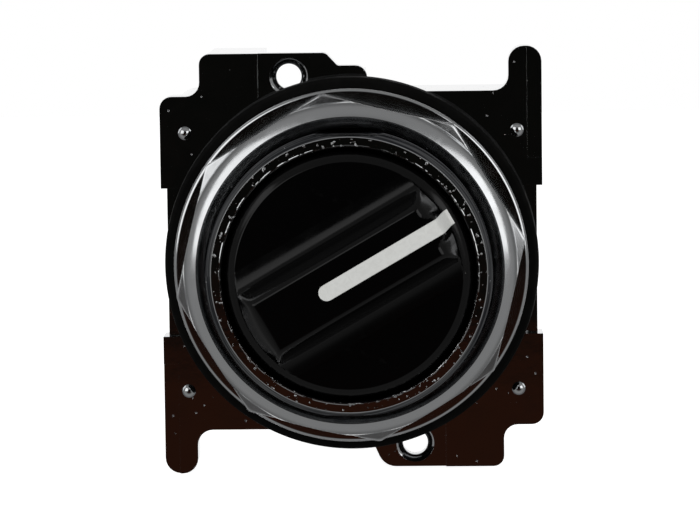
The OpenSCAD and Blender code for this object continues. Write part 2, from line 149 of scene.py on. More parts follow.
def tidy_mesh(mesh, weld=True):
    """Joins doubled points, turns faces outwards, marks sharp edges, and counts open edges."""
    bm = bmesh.new()
    bm.from_mesh(mesh)
    if weld:
        bmesh.ops.remove_doubles(bm, verts=bm.verts, dist=WELD)
        bmesh.ops.dissolve_degenerate(bm, edges=bm.edges, dist=WELD)
    bmesh.ops.recalc_face_normals(bm, faces=bm.faces)
    for face in bm.faces:
        face.smooth = True
    for edge in bm.edges:
        edge.smooth = edge.calc_face_angle(0) < SHARP_EDGE
    open_edges = sum(not edge.is_manifold for edge in bm.edges)
    bm.to_mesh(mesh)
    bm.free()
    return open_edges


def take_over(node, mesh, weld=True, rides=True):
    """Puts a mesh in the scene as the shown piece of one CAD node, on the node's own body."""
    open_edges = tidy_mesh(mesh, weld)
    piece = bpy.data.objects.new(node + "_finished", mesh)
    bpy.context.scene.collection.objects.link(piece)
    if rides:
        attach(piece, body_of[node])
    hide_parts(node)
    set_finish(piece, slot_of[node])
    keep_flats_flat(piece)
    print(piece.name, "faces", len(mesh.polygons), "open edges", open_edges)
    return piece


def keep_flats_flat(piece):
    """Lets large faces decide the shading, so that a flat beside a round edge still looks flat."""
    weighted = piece.modifiers.new("flat faces", "WEIGHTED_NORMAL")
    weighted.mode = "FACE_AREA"
    weighted.weight = 100
    weighted.keep_sharp = True


def new_mesh(name, points, faces):
    """A mesh from faces and points in panel terms, in millimetres."""
    mesh = bpy.data.meshes.new(name)
    mesh.from_pydata([at(*p) for p in points], [], faces)
    return mesh


# %% [markdown]
# ## Turned rings
#
# The gasket, the washer, the nut and the rubber rings are all a small outline swung round the
# axis. Blender's Spin or Screw tool would do for the plain ones, but the nut's outline is
# different at its corners and at its flats. So one helper asks for the outline at each angle,
# and joins the outlines into a closed ring.

# %% A ring from its outline at each angle
def ring(name, outline, steps=240):
    """outline(angle) gives the closed cut through the ring there, as [radius, out] pairs."""
    points = []
    for i in range(steps):
        angle = 2 * math.pi * i / steps
        cut = outline(angle)
        points += [(r * math.cos(angle), r * math.sin(angle), out) for r, out in cut]
    n = len(cut)
    faces = []
    for i in range(steps):
        here, after = i * n, (i + 1) % steps * n
        for k in range(n):
            m = (k + 1) % n
            faces.append((here + k, here + m, after + m, after + k))
    return new_mesh(name, points, faces)


def rounded(corners, steps=6):
    """A closed outline from [radius, out, fillet] corners, with an arc wherever fillet isn't 0."""
    outline = []
    for i, (x, y, fillet) in enumerate(corners):
        corner = Vector((x, y))
        if fillet == 0:
            outline.append(corner)
            continue
        before = (Vector(corners[i - 1][:2]) - corner).normalized()
        after = (Vector(corners[(i + 1) % len(corners)][:2]) - corner).normalized()
        half = before.angle(after) / 2
        centre = corner + (before + after).normalized() * fillet / math.sin(half)
        arms = [corner + arm * fillet / math.tan(half) - centre for arm in (before, after)]
        first, last = [math.atan2(arm.y, arm.x) for arm in arms]
        sweep = (last - first + 3 * math.pi) % (2 * math.pi) - math.pi
        for k in range(steps + 1):
            turn = first + sweep * k / steps
            outline.append(centre + Vector((math.cos(turn), math.sin(turn))) * fillet)
    return outline


# %% [markdown]
# ## The gasket
#
# A flat rubber ring that seals the hole from the front of the panel, under the washer. It is
# cut from sheet, so its rim is square with only a slight round, and it bulges a little where
# the nut squeezes it. A cylinder with a hole would have the size but not the soft rim.

# %% Make the gasket
gasket_bore, gasket_rim = radii("gasket")
gasket_back, gasket_front = depths("gasket")
GASKET_BULGE = 0.12
gasket_cut = rounded([
    (gasket_bore, gasket_back, 0.15),
    (gasket_rim - GASKET_BULGE, gasket_back, 0.35),
    (gasket_rim, (gasket_back + gasket_front) / 2, 1.5),
    (gasket_rim - GASKET_BULGE, gasket_front, 0.45),
    (gasket_bore, gasket_front, 0.15),
])
take_over("gasket", ring("gasket", lambda angle: gasket_cut))

# %% [markdown]
# ## The thrust washer
#
# A thick steel washer between the nut and the rubber, so that the turning nut doesn't drag the
# gasket round. It is stamped: one edge of its rim is drawn over into a full round and the other
# stays nearly square. Two flats in its bore key it to the bushing, so the bore is worked out
# angle by angle.

# %% Make the thrust washer
washer_bore, washer_rim = radii("thrust_washer")
washer_back, washer_front = depths("thrust_washer")
nut_bore, nut_corner = radii("mounting_nut")
KEY_WIDTH_TOP = 7.5
KEY_WIDTH_BOTTOM = 5.5
KEY_CLEARANCE = 0.1


def keyed_bore(angle):
    """Radius of the washer's hole: round, but for a flat at the top and a flat at the bottom."""
    width = KEY_WIDTH_TOP if math.sin(angle) > 0 else KEY_WIDTH_BOTTOM
    thread = nut_bore - KEY_CLEARANCE
    flat = math.sqrt(thread ** 2 - (width / 2) ** 2) + KEY_CLEARANCE
    return min(nut_bore, flat / max(abs(math.sin(angle)), 1e-6))


def washer_cut(angle):
    """Cut through the washer at this angle, as a closed outline."""
    bore = keyed_bore(angle)
    return rounded([
        (bore, washer_back, 0.1),
        (washer_rim, washer_back, 0.35),
        (washer_rim, washer_front, 0.42),
        (bore, washer_front, 0.2),
    ], steps=8)


take_over("thrust_washer", ring("thrust_washer", washer_cut))

# %% [markdown]
# ## The mounting nut
#
# The nut is turned from bar and then milled to eight flats. The lathe leaves a shallow cone on
# top, a fine step, and a round collar up to a narrow lip. The flats cut through the cone, and
# that makes the curved points at its corners. A boolean of an eight-sided prism and a turned
# shape gives the same, but leaves long thin faces that spoil a mirror finish. Here each cut
# simply stops where the flat is, and the faces stay even.

# %% Make the mounting nut
nut_back, nut_front = depths("mounting_nut")
NUT_SIDES = 8
NUT_TURN = math.radians(9)
CONE_SLOPE = math.tan(math.radians(15))
CONE_WIDTH = 1.0
CORNER_HEIGHT = 2.5
LIP_RADIUS = nut_bore + 1.2
NUT_EDGE = 0.07
NUT_FOOT_EDGE = 0.2
CORNER_BREAK = 0.05
COLLAR_LEAN = 0.02
COLLAR_WALL = 1.05
COLLAR_STEPS = 26
COLLAR_GAP = 0.02
CROWN_WIDTH = 0.8
CROWN_DROP = 0.42
LIP_EDGE = 0.16
nut_flat = nut_corner * math.cos(math.pi / NUT_SIDES)
collar_foot = nut_corner - CONE_WIDTH
cone_top = nut_back + CORNER_HEIGHT + CONE_WIDTH * CONE_SLOPE


def nut_limit(angle):
    """Distance from the axis to the milled flat at this angle, with the corners just broken."""
    pitch = 2 * math.pi / NUT_SIDES
    off = (angle - NUT_TURN) % pitch - pitch / 2
    return min(nut_flat / math.cos(off), nut_corner - CORNER_BREAK)


def collar(t):
    """The round collar, from the foot of its wall at t = 0 to the lip at t = 1."""
    foot = Vector((collar_foot, cone_top))
    wall = Vector((collar_foot - COLLAR_LEAN, cone_top + COLLAR_WALL))
    crown = Vector((LIP_RADIUS + CROWN_WIDTH, nut_front - CROWN_DROP))
    lip = Vector((LIP_RADIUS, nut_front))
    s = 1 - t
    return foot * s ** 3 + wall * (3 * s * s * t) + crown * (3 * s * t * t) + lip * t ** 3


def collar_start(limit):
    """Where on the collar a milled flat at this distance from the axis cuts it."""
    low, high = 0.0, 1.0
    for _ in range(30):
        middle = (low + high) / 2
        if collar(middle).x > limit:
            low = middle
        else:
            high = middle
    return high


def nut_cut(angle):
    """Cut through the nut at this angle: foot, flat side, cone, collar, lip and inner cone."""
    limit = nut_limit(angle)
    on_cone = limit >= collar_foot
    start = 0.0 if on_cone else collar_start(limit)
    inner = max(limit, collar_foot)
    cone_edge = nut_back + CORNER_HEIGHT + (nut_corner - limit) * CONE_SLOPE
    side_top = cone_edge if on_cone else collar(start).y
    cut = [(nut_bore, nut_back), (limit - NUT_FOOT_EDGE, nut_back), (limit, nut_back + NUT_FOOT_EDGE)]
    cut += [(limit, side_top - NUT_EDGE), (limit - NUT_EDGE * 0.3, side_top - NUT_EDGE * 0.3)]
    broken_edge = limit - NUT_EDGE * 0.9
    for k in range(4):
        r = min(inner + (collar_foot - inner) * k / 3, broken_edge) if on_cone else broken_edge
        cut.append((r, side_top + (limit - r) * CONE_SLOPE))
    first = start + COLLAR_GAP
    cut += [tuple(collar(first + (1 - first) * k / COLLAR_STEPS)) for k in range(COLLAR_STEPS + 1)]
    cut += [(LIP_RADIUS - LIP_EDGE / 2, nut_front - 0.01), (LIP_RADIUS - LIP_EDGE, nut_front - 0.07)]
    cut += [(nut_bore + 0.25, nut_front - 0.85), (nut_bore, nut_front - 1.15)]
    return cut


take_over("mounting_nut", ring("mounting_nut", nut_cut, steps=480))

# %% [markdown]
# ## The knob's top
#
# The knob is one plastic moulding: a flat round face, and across it a grip bar with a concave
# shoulder on each side, like a wave that rises to the bar's foot. The bar's top is flat with
# softly rounded edges, and its ends slope down to the rim. Subdivision modelling would need
# many support loops to hold these lines. A height above the face is simpler: one function says
# how high the skin stands at each spot along and across the bar, and a smooth minimum or
# maximum of two surfaces makes the mould's small fillets.

# %% Height of the knob's skin
knob_radius = radii("knob")[1]
hub_back, grip_top = depths("knob")
turn_joint = next(j for j in frame["joints"] if j["name"] == "knob_turn")
bar_angle = math.radians(90 - turn_joint["range_deg"][1] / 2)
GRIP_HEIGHT = 4.0
FACE_MARGIN = 1.06
SHOULDER_HALF = 6.42
SHOULDER_HEIGHT = 0.9
SHOULDER_SLOPE = 0.49
SHOULDER_CURL = 4.4
FOOT_HALF = 4.3
TOP_HALF = 2.95
TOP_END = 10.1
NOSE_LENGTH = 1.0
NOSE_HALF = 0.95
FOOT_END = knob_radius - 1.25
RIM_STEEPNESS = 4.5
END_FILLET = 1.1
SIDE_FILLET = 0.9
FOOT_FILLET = 0.25
knob_face = grip_top - GRIP_HEIGHT
face_radius = knob_radius - FACE_MARGIN


def smooth_min(a, b, blend):
    """The lower of two heights, with a fillet where they cross."""
    near = max(blend - abs(a - b), 0) / blend
    return min(a, b) - near * near * blend / 4


def smooth_max(a, b, blend):
    """The higher of two heights, with a fillet where they cross."""
    return -smooth_min(-a, -b, blend)


def knob_height(along, across):
    """How far out the knob's skin stands, at a spot along and across the grip bar, in mm."""
    side = abs(across)
    rise = min(max((SHOULDER_HALF - side) / (SHOULDER_HALF - FOOT_HALF), 0), 1)
    wave = SHOULDER_SLOPE * rise + (1 - SHOULDER_SLOPE) * rise ** SHOULDER_CURL
    shoulder = knob_face + SHOULDER_HEIGHT * wave
    foot = knob_face + SHOULDER_HEIGHT
    wall = foot + (FOOT_HALF - side) * (GRIP_HEIGHT - SHOULDER_HEIGHT) / (FOOT_HALF - TOP_HALF)
    arc_end = math.sqrt(max(FOOT_END ** 2 - side ** 2, 1))
    nose = min(max((2 * NOSE_HALF - side) / NOSE_HALF, 0), 1) if along > 0 else 0
    top_end = TOP_END + NOSE_LENGTH * nose * nose * (3 - 2 * nose)
    slope = foot + (arc_end - abs(along)) * (GRIP_HEIGHT - SHOULDER_HEIGHT) / (arc_end - top_end)
    bar = smooth_min(smooth_min(grip_top, slope, END_FILLET), wall, SIDE_FILLET)
    skin = smooth_max(shoulder, bar, FOOT_FILLET)
    rim = knob_face + RIM_STEEPNESS * (knob_radius - 1 - math.hypot(along, across))
    near_rim = rim < skin + FOOT_FILLET and skin > knob_face + 0.02
    return smooth_min(skin, rim, FOOT_FILLET) if near_rim else skin


print("bar angle", round(math.degrees(bar_angle), 1), "top", round(knob_height(0, 0), 2))

# %% [markdown]
# The top is laid out in rows along the bar, packed close where the skin bends across it. Each
# row's two ends lie on the face's edge, and those edge points carry on down as rings: over the
# rounded rim, past the seal's groove, round the open back, and into the square socket that the
# spindle drives. So the whole knob is one closed skin, as a moulding is.

# %% Make the knob
SEAL_RADIUS = 0.7
KNOB_WALL = 2.4
CROWN = 1.5
HUB_RADIUS = 5.2
SCREW_RADIUS = 1.52
SOCKET_HALF = 2.75
SOCKET_DEPTH = 7.05
SCREW_HOLE_END = 14.05
SKIRT_BACK = 3.4
COLUMNS = 150
END_CROWDING = 0.3
seal_low, seal_high = depths("knob_seal")


def spread(*stops):
    """Even steps between stops: each stop is a value, and the step used up to it."""
    values = [stops[0]]
    for value, step in stops[1:]:
        count = max(1, round((value - values[-1]) / step))
        start = values[-1]
        values += [start + (value - start) * k / count for k in range(1, count + 1)]
    return values


# Distances across the bar, each with the step used up to it: close where the skin bends.
half_rows = spread(0.12, (2.4, 0.24), (3.2, 0.07), (4.1, 0.12), (4.6, 0.05), (6.1, 0.13), (6.7, 0.05))
outer_rows = [face_radius * math.sin(math.radians(a)) for a in range(36, 89, 2)]
half_rows += [n for n in outer_rows if n > 6.75]
rows = [-n for n in reversed(half_rows)] + half_rows


def skirt_profile():
    """Cut through the knob outside its face: rim, wall, seal groove, inside and hub."""
    start, pull, push, end = [Vector(p) for p in (
        (knob_radius - 0.94, knob_face - 0.07), (knob_radius - 0.55, knob_face - 0.4),
        (knob_radius, knob_face - 0.62), (knob_radius, knob_face - 1.5))]
    rim = []
    for k in range(13):
        t = k / 12
        s = 1 - t
        rim.append(start * s ** 3 + pull * (3 * s * s * t) + push * (3 * s * t * t) + end * t ** 3)
    groove = knob_radius - 1
    inside = knob_radius - KNOB_WALL
    return [(knob_radius - 1.0, knob_face - 0.02)] + [tuple(p) for p in rim] + [
        (knob_radius, seal_high + 0.05), (groove, seal_high + 0.05),
        (groove, seal_low - 0.05), (knob_radius, seal_low - 0.05),
        (knob_radius, SKIRT_BACK + 0.3), (knob_radius - 0.3, SKIRT_BACK),
        (inside + 0.2, SKIRT_BACK), (inside, SKIRT_BACK + 0.2),
        (inside, knob_face - CROWN - 0.3), (inside - 0.3, knob_face - CROWN),
        (HUB_RADIUS, knob_face - CROWN), (HUB_RADIUS, hub_back + 0.2),
        (HUB_RADIUS - 0.2, hub_back),
    ]


def socket(angle):
    """Radius of the square socket at this angle; its sides line up with the panel."""
    turned = angle + bar_angle
    return SOCKET_HALF / max(abs(math.cos(turned)), abs(math.sin(turned)))


def build_knob():
    """The knob's closed skin in bar coordinates, as points and faces."""
    points, faces, grid = [], [], []
    for across in rows:
        reach = math.sqrt(face_radius ** 2 - across ** 2)
        line = []
        for k in range(COLUMNS + 1):
            share = 2 * k / COLUMNS - 1
            crowded = math.sin(share * math.pi / 2)
            share = (1 - END_CROWDING) * share + END_CROWDING * crowded
            line.append(len(points))
            points.append((share * reach, across, knob_height(share * reach, across)))
        grid.append(line)
    for low, high in zip(grid, grid[1:]):
        faces += [(low[k], low[k + 1], high[k + 1], high[k]) for k in range(COLUMNS)]
    tips = []
    for side in (-1, 1):
        tips.append(len(points))
        points.append((0, side * face_radius, knob_face))
    faces += [(tips[0], grid[0][k + 1], grid[0][k]) for k in range(COLUMNS)]
    faces += [(tips[1], grid[-1][k], grid[-1][k + 1]) for k in range(COLUMNS)]
    edge = [tips[0]] + [line[-1] for line in grid] + [tips[1]] + [line[0] for line in reversed(grid)]
    angles = [math.atan2(points[i][1], points[i][0]) for i in edge]

    def add_ring(radius_at, out):
        nonlocal edge
        first = len(points)
        points.extend((radius_at(a) * math.cos(a), radius_at(a) * math.sin(a), out) for a in angles)
        fresh = list(range(first, len(points)))
        count = len(edge)
        faces.extend((edge[k], fresh[k], fresh[(k + 1) % count], edge[(k + 1) % count])
                     for k in range(count))
        edge = fresh

    for radius, out in skirt_profile():
        add_ring(lambda a, r=radius: r, out)
    add_ring(socket, hub_back)
    add_ring(socket, hub_back + SOCKET_DEPTH)
    add_ring(lambda a: SCREW_RADIUS, hub_back + SOCKET_DEPTH)
    add_ring(lambda a: SCREW_RADIUS, SCREW_HOLE_END)
    faces.append(tuple(edge))
    return points, faces


def along_bar(points):
    """Turns bar coordinates (along, across, out) into panel coordinates."""
    c, s = math.cos(bar_angle), math.sin(bar_angle)
    return [(x * c - y * s, x * s + y * c, z) for x, y, z in points]


knob_points, knob_faces = build_knob()
knob = take_over("knob", new_mesh("knob", along_bar(knob_points), knob_faces))

# %% [markdown]
# ## The indicator line
#
# The white line is a strip of white plastic let into the bar. It starts with a round end near
# the middle, runs flat along the top and folds down over the end to the rim. It follows the
# same skin as the knob, so it is swept along that curve. The slot for it is cut with a slightly
# wider copy of the strip: that way the two can never disagree.

# %% Make the indicator line and its slot
LINE_WIDTH = 1.72
LINE_TAIL = -3.4
LINE_STEPS = 90
LINE_PROUD = 0.03
LINE_DEPTH = 0.45
SLOT_WIDTH = LINE_WIDTH + 0.04
SLOT_DEPTH = 0.47
SLOT_ABOVE = 0.8
SLOT_EDGE = 0.01


def line_path():
    """The skin's curve under the line, from its tail to the rim, as [along, out] points."""
    path = []
    for k in range(LINE_STEPS + 1):
        along = LINE_TAIL + (face_radius - LINE_TAIL) * k / LINE_STEPS
        path.append(Vector((along, knob_height(along, 0))))
    path += [Vector(p) for p in skirt_profile()[1:5]]
    return path


def strip(width, above, below, edge):
    """A bar swept along the line's path: width across, and so far above and below the skin."""
    path = line_path()
    points, faces = [], []
    for k, spot in enumerate(path):
        ahead = path[min(k + 1, len(path) - 1)] - path[max(k - 1, 0)]
        normal = Vector((-ahead.y, ahead.x)).normalized()
        from_tail = min(spot.x - LINE_TAIL + 0.03, LINE_WIDTH / 2)
        half = math.sqrt(max(LINE_WIDTH * from_tail - from_tail ** 2, 0.0)) * width / LINE_WIDTH
        top, low = spot + normal * above, spot - normal * below
        shelf = spot + normal * (above - edge)
        for across, base in ((-half, low), (-half, shelf), (-half + edge, top),
                             (half - edge, top), (half, shelf), (half, low)):
            points.append((base.x, across, base.y))
    n = 6
    for k in range(len(path) - 1):
        here, after = k * n, (k + 1) * n
        faces += [(here + i, here + (i + 1) % n, after + (i + 1) % n, after + i) for i in range(n)]
    last = (len(path) - 1) * n
    faces += [tuple(range(n - 1, -1, -1)), tuple(range(last, last + n))]
    return along_bar(points), faces


line_points, line_faces = strip(LINE_WIDTH, LINE_PROUD, LINE_DEPTH, LINE_PROUD)
take_over("indicator_line", new_mesh("indicator_line", line_points, line_faces))


def cut_slot(piece, points, faces):
    """Cuts a shape out of a piece for good, and tidies what is left."""
    cutter = bpy.data.objects.new("slot_cutter", new_mesh("slot_cutter", points, faces))
    tidy_mesh(cutter.data)
    bpy.context.scene.collection.objects.link(cutter)
    cut = piece.modifiers.new("slot", "BOOLEAN")
    cut.operation = "DIFFERENCE"
    cut.solver = "MANIFOLD"
    cut.object = cutter
    bpy.context.view_layer.update()
    shaped = piece.evaluated_get(bpy.context.evaluated_depsgraph_get())
    mesh = bpy.data.meshes.new_from_object(shaped)
    piece.modifiers.clear()
    bpy.data.objects.remove(cutter)
    open_edges = tidy_mesh(mesh, weld=False)
    piece.data = mesh
    keep_flats_flat(piece)
    print(piece.name, "with its slot: faces", len(mesh.polygons), "open edges", open_edges)


cut_slot(knob, *strip(SLOT_WIDTH, SLOT_ABOVE, SLOT_DEPTH, SLOT_EDGE))

# %% [markdown]
# ## The casing and the other metal parts
#
# The casing is a zinc die casting with a bright chrome plate. Chrome shows every edge as a thin
# bright line, because no real edge is sharp: the die leaves a small round, and the plating
# builds up on it. The CAD solid has the right shape and no rounds, so a copy of it gets them
# from a Bevel modifier. First the many triangles of each flat are joined into one face, because
# a bevel follows the edges it finds.

# %% Round the edges of a CAD node's copy
CASTING_ROUND = 0.12
CAD_WELD = 0.001 * MM
FLAT = math.radians(0.5)
BEVEL_FROM = math.radians(38)


def soften(node, radius, segments=2):
    """Takes over from a CAD node with a copy whose sharp edges are rounded to a radius in mm."""
    mesh = nodes[node].data.copy()
    mesh.materials.clear()
    for name in [a.name for a in mesh.attributes if a.name.startswith("custom_normal")]:
        mesh.attributes.remove(mesh.attributes[name])
    bm = bmesh.new()
    bm.from_mesh(mesh)
    bmesh.ops.remove_doubles(bm, verts=bm.verts, dist=CAD_WELD)
    bmesh.ops.dissolve_limit(bm, angle_limit=FLAT, verts=bm.verts, edges=bm.edges)
    bm.to_mesh(mesh)
    bm.free()
    piece = take_over(node, mesh, weld=False)
    piece.modifiers.clear()
    bevel = piece.modifiers.new("cast edges", "BEVEL")
    bevel.width = radius * MM
    bevel.segments = segments
    bevel.limit_method = "ANGLE"
    bevel.angle_limit = BEVEL_FROM
    bevel.use_clamp_overlap = True
    shaped = piece.evaluated_get(bpy.context.evaluated_depsgraph_get())
    rounded_mesh = bpy.data.meshes.new_from_object(shaped)
    piece.modifiers.clear()
    piece.data = rounded_mesh
    keep_flats_flat(piece)
    open_edges = tidy_mesh(rounded_mesh, weld=False)
    print(node, "edges rounded: faces", len(rounded_mesh.polygons), "open edges", open_edges)


soften("casing", CASTING_ROUND)

# %% [markdown]
# ## Springs and rubber rings
#
# Under each plunger sits a small coil spring, and rubber rings seal the knob and the spindle.
# A spring is wire wound on a helix, with its last half turn at each end laid flat so that it
# stands straight. The wire is swept along that line in small steps. One end of each spring stays
# on the guide and the other moves with the plunger, so the coils close up as it is pushed back.

# %% Wind the plunger springs
WIRE_RADIUS = 0.22
WIRE_SIDES = 12
COIL_STEPS = 40
COIL_TURNS = 4
END_TURN = 0.5
SPRING_GAP = 0.02


def wind_spring(node, plunger):
    """A coil spring in the place of a CAD node, from the housing at its back to a plunger."""
    low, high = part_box(node)
    right, up = (low.x + high.x) / 2 / MM, (low.z + high.z) / 2 / MM
    coil_radius = (high.x - low.x) / 2 / MM - WIRE_RADIUS
    back, front = depths(node)
    start, end = back + WIRE_RADIUS + SPRING_GAP, front - WIRE_RADIUS - SPRING_GAP
    points, faces = [], []
    total = COIL_TURNS * COIL_STEPS
    for i in range(total + 1):
        turns = i / COIL_STEPS
        climb = min(max((turns - END_TURN) / (COIL_TURNS - 2 * END_TURN), 0), 1)
        out = start + (end - start) * climb
        angle = 2 * math.pi * turns
        for k in range(WIRE_SIDES):
            round_wire = 2 * math.pi * k / WIRE_SIDES
            reach = coil_radius + WIRE_RADIUS * math.cos(round_wire)
            points.append((right + reach * math.cos(angle), up + reach * math.sin(angle),
                           out + WIRE_RADIUS * math.sin(round_wire)))
    for i in range(total):
        for k in range(WIRE_SIDES):
            a, b = i * WIRE_SIDES + k, i * WIRE_SIDES + (k + 1) % WIRE_SIDES
            faces.append((a, b, b + WIRE_SIDES, a + WIRE_SIDES))
    faces.append(tuple(range(WIRE_SIDES - 1, -1, -1)))
    faces.append(tuple(range(total * WIRE_SIDES, (total + 1) * WIRE_SIDES)))
    piece = take_over(node, new_mesh(node, points, faces), rides=False)
    seat, cap = at(right, up, back), at(right, up, front)
    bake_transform(piece, "housing", plunger, start=tuple(seat), end=tuple(cap))


for plunger in ("left_plunger", "right_plunger"):
    wind_spring(plunger + "_spring", plunger)

# %% Make the rubber rings
RUBBER_SIDES = 20
RUBBER_STEPS = 120


def rubber_ring(node):
    """A round-section ring in the place of a CAD node."""
    outer = radii(node)[1]
    back, front = depths(node)
    thick, middle = (front - back) / 2, (front + back) / 2
    turns = [2 * math.pi * k / RUBBER_SIDES for k in range(RUBBER_SIDES)]
    cut = [(outer - thick + thick * math.cos(t), middle + thick * math.sin(t)) for t in turns]
    take_over(node, ring(node, lambda angle: cut, steps=RUBBER_STEPS))


for seal in ("knob_seal", "spindle_o_ring"):
    rubber_ring(seal)

# %% [markdown]
# ## The parts inside
#
# The spindle, cam, detent wheel, plungers and rear plate keep close to their CAD shapes. They
# are turned, moulded or stamped pieces whose edges are only broken, so each gets a small round
# and nothing else.

# %% Break the edges of the inner parts
EDGE_ROUNDS = {
    "spindle": 0.12, "spindle_bearing": 0.1, "spindle_screw": 0.08, "cam_washer": 0.05,
    "detent_wheel": 0.12, "cam": 0.12, "detent_springs": 0.04, "plunger_guide": 0.15,
    "left_plunger": 0.06, "right_plunger": 0.06, "rear_plate": 0.1, "rear_plate_screws": 0.06,
}
for node, radius in EDGE_ROUNDS.items():
    soften(node, radius)

# %% [markdown]
# # Finishes
#
# A real surface is never one flat value. Plating has pits, rubber has bloom, moulded plastic
# has the die's fine texture. Several finishes share these effects, so each effect is a node
# group that gives a mask or a height, and every material sets it to its own size. All patterns
# are laid out in the piece's own millimetres, so they stay on the piece when it moves.

# %% Short ways to add shader nodes
def add(tree, kind, inputs=None, **settings):
    """Adds a node, sets its properties, and fills or links its inputs by name or number."""
    node = tree.nodes.new(kind)
    for key, value in settings.items():
        setattr(node, key, value)
    for key, value in (inputs or {}).items():
        if isinstance(value, bpy.types.NodeSocket):
            tree.links.new(value, node.inputs[key])
        else:
            node.inputs[key].default_value = value
    return node


def calc(tree, operation, a, b=0.0, c=0.0):
    """One Math node's result."""
    return add(tree, "ShaderNodeMath", {0: a, 1: b, 2: c}, operation=operation).outputs[0]


def fade(tree, value, start, end, low=0.0, high=1.0):
    """Runs smoothly from low to high while value goes from start to end."""
    inputs = {"Value": value, "From Min": start, "From Max": end, "To Min": low, "To Max": high}
    return add(tree, "ShaderNodeMapRange", inputs, interpolation_type="SMOOTHSTEP").outputs["Result"]


def effect(name, inputs, outputs):
    """An empty node group with named number inputs, and its own place in millimetres."""
    group = bpy.data.node_groups.new(name, "ShaderNodeTree")
    for socket, default in inputs.items():
        made = group.interface.new_socket(socket, in_out="INPUT", socket_type="NodeSocketFloat")
        made.default_value = default
    for socket in outputs:
        group.interface.new_socket(socket, in_out="OUTPUT", socket_type="NodeSocketFloat")
    place = add(group, "ShaderNodeTexCoord").outputs["Object"]
    mm = add(group, "ShaderNodeVectorMath", {0: place, "Scale": 1 / MM}, operation="SCALE").outputs[0]
    given = group.nodes.new("NodeGroupInput").outputs
    result = group.nodes.new("NodeGroupOutput").inputs
    return group, given, result, mm


def per_mm(tree, size):
    """A texture's scale, from the size of its features in mm."""
    return calc(tree, "DIVIDE", 1.0, size)


# %% [markdown]
# **Grain** is the fine even texture of moulded plastic and rubber: noise with smaller noise
# inside it. **Smears** are large soft patches where a surface has been touched or wiped,
# which change how glossy it is. **Pits** are the pinholes and grains of dirt under the plating
# of a casting: a Voronoi pattern gives one per cell, and noise leaves most cells empty.
# **Wear** finds the convex edges, where rubbing thins the finish, and breaks it up with noise.

# %% Make the shared effects
grain_fx, given, result, mm = effect("Grain", {"Size": 0.2}, ["Height"])
coarse = add(grain_fx, "ShaderNodeTexNoise",
             {"Vector": mm, "Scale": per_mm(grain_fx, given["Size"]), "Detail": 5.0})
grain_fx.links.new(coarse.outputs[0], result["Height"])

smear_fx, given, result, mm = effect("Smears", {"Size": 6.0, "Low": 0.1, "High": 0.2}, ["Value"])
patch = add(smear_fx, "ShaderNodeTexNoise",
            {"Vector": mm, "Scale": per_mm(smear_fx, given["Size"]), "Detail": 4.0, "Distortion": 1.2})
smeared = fade(smear_fx, patch.outputs[0], 0.3, 0.7, given["Low"], given["High"])
smear_fx.links.new(smeared, result["Value"])

pit_fx, given, result, mm = effect("Pits", {"Spacing": 0.8, "Width": 0.1, "Share": 0.4}, ["Mask"])
cell = add(pit_fx, "ShaderNodeTexVoronoi", {"Vector": mm, "Scale": per_mm(pit_fx, given["Spacing"])})
edge_noise = add(pit_fx, "ShaderNodeTexNoise", {"Vector": mm, "Scale": 9.0, "Detail": 3.0})
ragged = calc(pit_fx, "MULTIPLY_ADD", edge_noise.outputs[0], 0.25, -0.125)
distance = calc(pit_fx, "ADD", cell.outputs["Distance"], ragged)
reach = calc(pit_fx, "DIVIDE", given["Width"], given["Spacing"])
inside = calc(pit_fx, "SUBTRACT", 1.0, calc(pit_fx, "DIVIDE", distance, reach))
lot = add(pit_fx, "ShaderNodeSeparateColor", {0: cell.outputs["Color"]}).outputs[0]
chosen = calc(pit_fx, "LESS_THAN", lot, given["Share"])
pit_fx.links.new(calc(pit_fx, "MULTIPLY", fade(pit_fx, inside, 0.0, 0.6), chosen), result["Mask"])

wear_fx, given, result, mm = effect("Wear", {"Size": 0.6, "Amount": 0.5}, ["Mask"])
pointed = add(wear_fx, "ShaderNodeNewGeometry").outputs["Pointiness"]
rubbed = add(wear_fx, "ShaderNodeTexNoise",
             {"Vector": mm, "Scale": per_mm(wear_fx, given["Size"]), "Detail": 6.0})
patchy = fade(wear_fx, rubbed.outputs[0], 0.4, 0.65)
uneven = calc(wear_fx, "MULTIPLY", patchy, fade(wear_fx, pointed, 0.52, 0.6))
wear_fx.links.new(calc(wear_fx, "MULTIPLY", uneven, given["Amount"]), result["Mask"])
print("effects:", [g.name for g in bpy.data.node_groups])


# %% [markdown]
# A finish is one Principled shader with these effects around it. The helper below makes the
# part that they share: a colour that shifts with a mask, a roughness that the smears vary, and
# a bump that adds up the heights. Numbers that are the same all over go straight on the shader.

# %% The common part of a finish
finishes = {}


def rgb(r, g, b):
    """An opaque colour."""
    return (r, g, b, 1.0)


def use(tree, group, output, **values):
    """Places a shared effect in a material with its own sizes, and gives one of its outputs."""
    node = add(tree, "ShaderNodeGroup", node_tree=group)
    for key, value in values.items():
        node.inputs[key.replace("_", " ").capitalize()].default_value = value
    return node.outputs[output]


def mix_colour(tree, mask, first, second):
    """The first colour where the mask is 0, and the second where it is 1."""
    node = add(tree, "ShaderNodeMix", data_type="RGBA")
    for name, kind, value in (("Factor", "VALUE", mask), ("A", "RGBA", first), ("B", "RGBA", second)):
        socket = next(i for i in node.inputs if i.name == name and i.type == kind)
        if isinstance(value, bpy.types.NodeSocket):
            tree.links.new(value, socket)
        else:
            socket.default_value = value
    return next(o for o in node.outputs if o.type == "RGBA")


